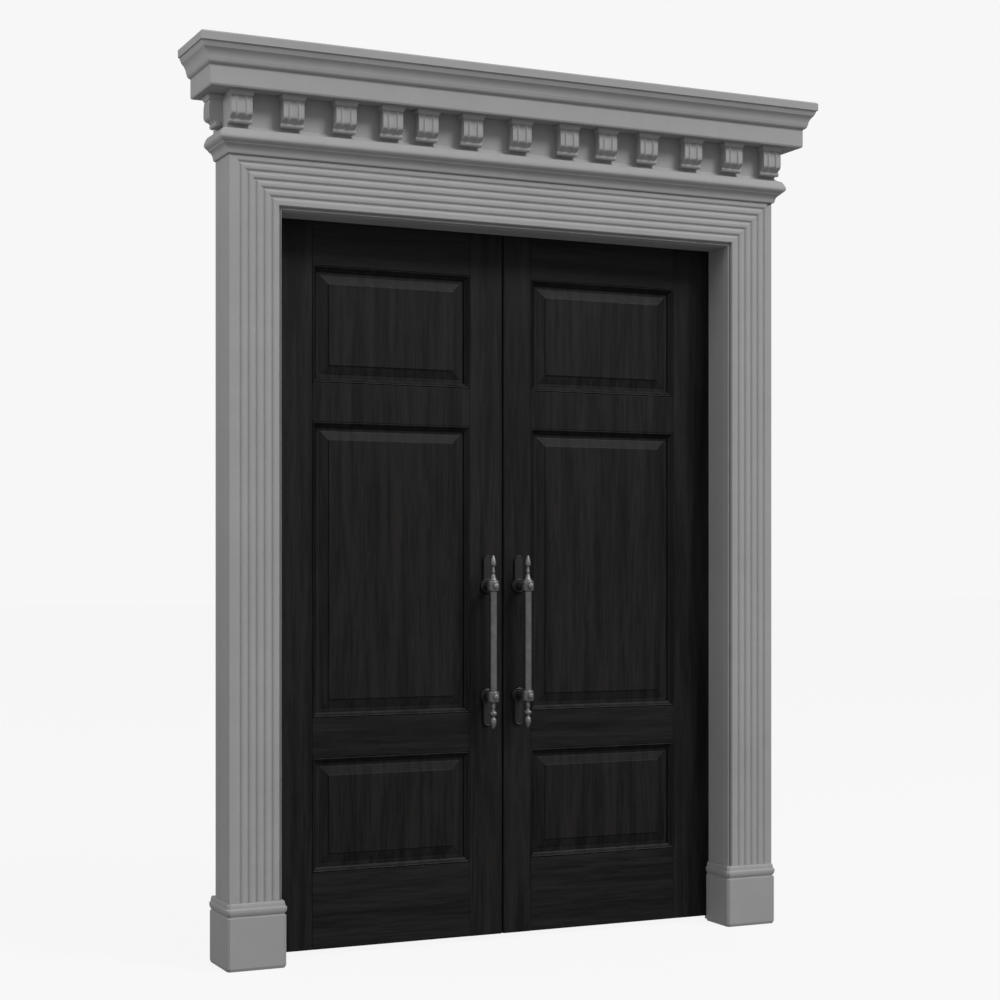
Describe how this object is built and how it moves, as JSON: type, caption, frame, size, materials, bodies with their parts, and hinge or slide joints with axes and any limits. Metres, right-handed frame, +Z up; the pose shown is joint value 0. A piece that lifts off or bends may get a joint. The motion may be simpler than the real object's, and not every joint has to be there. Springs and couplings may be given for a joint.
{
  "type": "door surround",
  "caption": "Classical stone door surround with a banded architrave, plinths and a bracketed cornice, holding a pair of dark panelled doors with long pull handles.",
  "frame": {"origin": "centre of the overall footprint at the underside of the plinths", "axes": "+X to the right along the front as seen from outside, +Y back into the wall, +Z up"},
  "size_m": [2.152, 0.322, 2.8426],
  "materials": {
    "stone": "smooth matt grey cast stone",
    "dark_wood": "dark stained wood with a low sheen",
    "iron": "dark burnished iron"
  },
  "bodies": {
    "surround": {"plinth_left": "stone", "plinth_right": "stone", "architrave_leg_left": "stone", "architrave_leg_right": "stone", "architrave_head": "stone", "lining_left": "stone", "lining_right": "stone", "lining_head": "stone", "frieze_course": "stone", "cornice": "stone", "bracket_01": "stone", "bracket_02": "stone", "bracket_03": "stone", "bracket_04": "stone", "bracket_05": "stone", "bracket_06": "stone", "bracket_07": "stone", "bracket_08": "stone", "bracket_09": "stone", "bracket_10": "stone", "bracket_11": "stone", "bracket_12": "stone", "bracket_13": "stone", "bracket_return_left": "stone", "bracket_return_right": "stone"},
    "left_leaf": {"left_hinge_stile": "dark_wood", "left_meeting_stile": "dark_wood", "left_bottom_rail": "dark_wood", "left_lock_rail": "dark_wood", "left_upper_rail": "dark_wood", "left_top_rail": "dark_wood", "left_low_panel": "dark_wood", "left_tall_panel": "dark_wood", "left_top_panel": "dark_wood", "left_low_moulding": "dark_wood", "left_tall_moulding": "dark_wood", "left_top_moulding": "dark_wood", "left_upper_handle_mount": "iron", "left_lower_handle_mount": "iron", "left_handle_bar": "iron", "left_lower_hinge": "iron", "left_upper_hinge": "iron"},
    "right_leaf": {"right_hinge_stile": "dark_wood", "right_meeting_stile": "dark_wood", "right_bottom_rail": "dark_wood", "right_lock_rail": "dark_wood", "right_upper_rail": "dark_wood", "right_top_rail": "dark_wood", "right_low_panel": "dark_wood", "right_tall_panel": "dark_wood", "right_top_panel": "dark_wood", "right_low_moulding": "dark_wood", "right_tall_moulding": "dark_wood", "right_top_moulding": "dark_wood", "right_upper_handle_mount": "iron", "right_lower_handle_mount": "iron", "right_handle_bar": "iron", "right_lower_hinge": "iron", "right_upper_hinge": "iron"}
  },
  "joints": [
    {"name": "left_leaf_hinge", "type": "hinge", "parent": "surround", "child": "left_leaf", "pos_m": [-0.7965, 0.155, 1.178], "axis": [0, 0, 1], "range_deg": [0, 95]},
    {"name": "right_leaf_hinge", "type": "hinge", "parent": "surround", "child": "right_leaf", "pos_m": [0.7965, 0.155, 1.178], "axis": [0, 0, -1], "range_deg": [0, 95]}
  ]
}
